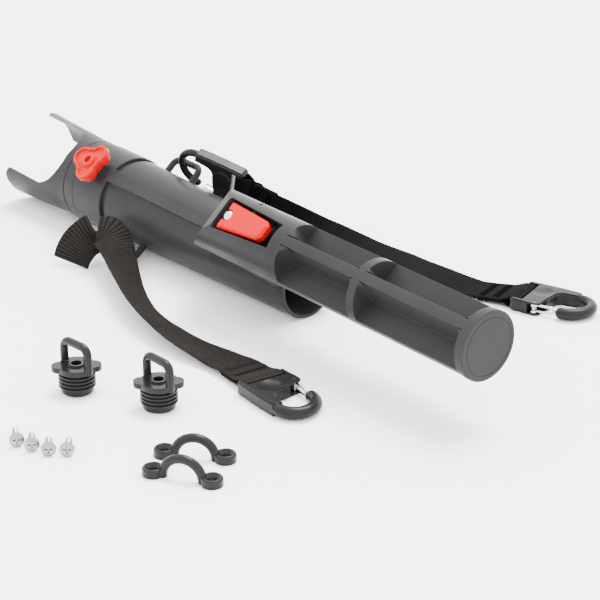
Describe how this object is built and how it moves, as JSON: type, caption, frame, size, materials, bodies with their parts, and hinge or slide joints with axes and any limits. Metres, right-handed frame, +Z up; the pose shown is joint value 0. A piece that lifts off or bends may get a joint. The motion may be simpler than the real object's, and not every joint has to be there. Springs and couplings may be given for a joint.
{
  "type": "fishing rod holder",
  "caption": "Clamp-in fishing rod holder with an open fork mouth, offset mounting post, release lever, clip-on webbing tethers, pad eyes and eye plugs.",
  "frame": {"origin": "on the surface the part lies on, under the middle of the box of everything but the tethers", "axes": "+X along the tube from its mouth to the end of its mounting post, +Z up"},
  "size_m": [0.4528, 0.3642, 0.0751],
  "materials": {
    "body": "fine moulded texture, charcoal grey",
    "hook": "moulded nylon, brown-black",
    "fitting": "satin black moulding",
    "red": "satin red moulding",
    "steel": "bright stainless",
    "brass": "turned",
    "webbing": "woven nylon webbing with cross ribs"
  },
  "bodies": {
    "holder": {"rod_tube": "body", "latch_block": "body", "mounting_post": "body", "post_end_cap": "body", "front_bail": "body", "back_bail": "body", "stud_insert": "brass", "lever_pin": "steel", "spring_cap": "brass", "plunger_spring": "steel", "back_inner_hook": "hook", "back_inner_pin": "steel", "back_outer_hook": "hook", "back_outer_pin": "steel", "front_hook": "hook", "front_pin": "steel", "back_web": "webbing", "front_web": "webbing", "back_inner_spring": "steel", "back_outer_spring": "steel", "front_spring": "steel"},
    "mouth": {"mouth_collar": "body"},
    "knob": {"clamp_knob": "red", "knob_stud": "steel"},
    "lever": {"release_lever": "red"},
    "plunger": {"lock_plunger": "steel", "plunger_ring": "brass"},
    "back_inner_gate": {"back_inner_gate": "steel"},
    "back_outer_gate": {"back_outer_gate": "steel"},
    "front_gate": {"front_gate": "steel"},
    "eye_plug_left": {"eye_plug_left": "fitting"},
    "eye_plug_right": {"eye_plug_right": "fitting"},
    "pad_eye_back": {"pad_eye_back": "fitting"},
    "pad_eye_front": {"pad_eye_front": "fitting"},
    "pad_eye_screws": {"pad_eye_screws": "steel"}
  },
  "joints": [
    {"name": "mouth_turn", "type": "hinge", "parent": "holder", "child": "mouth", "pos_m": [-0.14888, 0.0973, 0.02719], "axis": [0.9997, 0, -0.0255], "range_deg": [-90, 90]},
    {"name": "knob_turn", "type": "hinge", "parent": "holder", "child": "knob", "pos_m": [-0.13225, 0.07565, 0.05168], "axis": [0.0192, -0.6561, 0.7545], "range_deg": [-180, 180]},
    {"name": "lever_rock", "type": "hinge", "parent": "holder", "child": "lever", "pos_m": [0.03809, 0.0622, 0.06281], "axis": [0.0167, 0.7547, 0.6558], "range_deg": [0, 12]},
    {"name": "plunger_lift", "type": "slide", "parent": "holder", "child": "plunger", "axis": [0.0192, -0.6561, 0.7545], "range_m": [0, 0.00325], "stiffness_N_per_m": 400, "springref_m": -0.0016, "deforming": ["plunger_spring"]},
    {"name": "back_inner_gate_hinge", "type": "hinge", "parent": "holder", "child": "back_inner_gate", "pos_m": [-0.07056, 0.13187, 0.03459], "axis": [-0.301, 0.8992, 0.3174], "range_deg": [0, 28], "stiffness_Nm_per_rad": 0.01, "springref_deg": -5.73},
    {"name": "back_outer_gate_hinge", "type": "hinge", "parent": "holder", "child": "back_outer_gate", "pos_m": [0.13864, 0.20161, 0.004], "axis": [0, 0, 1], "range_deg": [0, 28], "stiffness_Nm_per_rad": 0.01, "springref_deg": -5.73},
    {"name": "front_gate_hinge", "type": "hinge", "parent": "holder", "child": "front_gate", "pos_m": [0.12351, 0.02547, 0.004], "axis": [0, 0, -1], "range_deg": [0, 28], "stiffness_Nm_per_rad": 0.01, "springref_deg": -5.73},
    {"name": "eye_plug_left_lift", "type": "slide", "parent": "holder", "child": "eye_plug_left", "axis": [0, 0, 1], "range_m": [0, 0.05]},
    {"name": "eye_plug_right_lift", "type": "slide", "parent": "holder", "child": "eye_plug_right", "axis": [0, 0, 1], "range_m": [0, 0.05]},
    {"name": "pad_eye_back_lift", "type": "slide", "parent": "holder", "child": "pad_eye_back", "axis": [0, 0, 1], "range_m": [0, 0.05]},
    {"name": "pad_eye_front_lift", "type": "slide", "parent": "holder", "child": "pad_eye_front", "axis": [0, 0, 1], "range_m": [0, 0.05]},
    {"name": "pad_eye_screws_lift", "type": "slide", "parent": "holder", "child": "pad_eye_screws", "axis": [0, 0, 1], "range_m": [0, 0.05]}
  ],
  "couplings": [
    {"joint": "lever_rock", "follows": "plunger_lift", "rad_per_m": 64.4}
  ]
}
